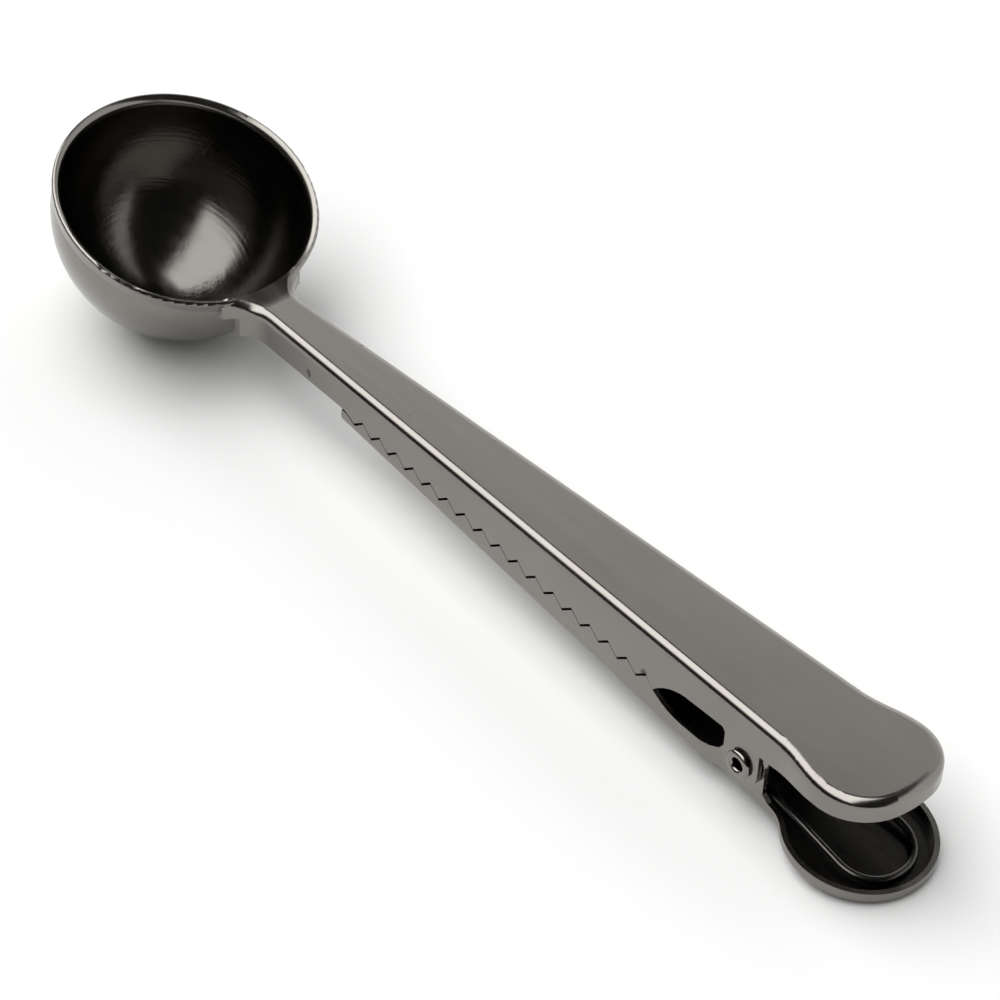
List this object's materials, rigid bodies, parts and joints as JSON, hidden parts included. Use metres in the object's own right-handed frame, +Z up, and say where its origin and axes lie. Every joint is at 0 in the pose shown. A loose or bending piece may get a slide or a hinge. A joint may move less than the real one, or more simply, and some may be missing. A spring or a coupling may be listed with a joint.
{
  "type": "bag clip scoop",
  "caption": "Coffee measuring scoop whose long channel handle is a sprung bag clip: a toothed lever, hinged on a hollow rivet, closes up against the handle's toothed walls.",
  "frame": {"origin": "middle of the footprint, on the surface that the object stands on", "axes": "+X along the handle from the bowl to the thumb end, +Y across it, +Z up"},
  "size_m": [0.1822, 0.042, 0.0296],
  "materials": {
    "scoop_plating": "polished gunmetal plating",
    "lever_plating": "polished gunmetal plating",
    "rivet_plating": "polished gunmetal plating",
    "spring_wire": "dark plated spring wire"
  },
  "bodies": {
    "scoop": {"scoop_handle": "scoop_plating", "pivot_rivet": "rivet_plating", "torsion_spring": "spring_wire"},
    "lever": {"clamp_lever": "lever_plating"}
  },
  "joints": [
    {"name": "lever_hinge", "type": "hinge", "parent": "scoop", "child": "lever", "pos_m": [0.06382, 0, 0.00899], "axis": [0, -1, 0], "range_deg": [0, 25], "stiffness_Nm_per_rad": 0.3, "springref_deg": -34.38, "deforming": ["torsion_spring"]}
  ]
}
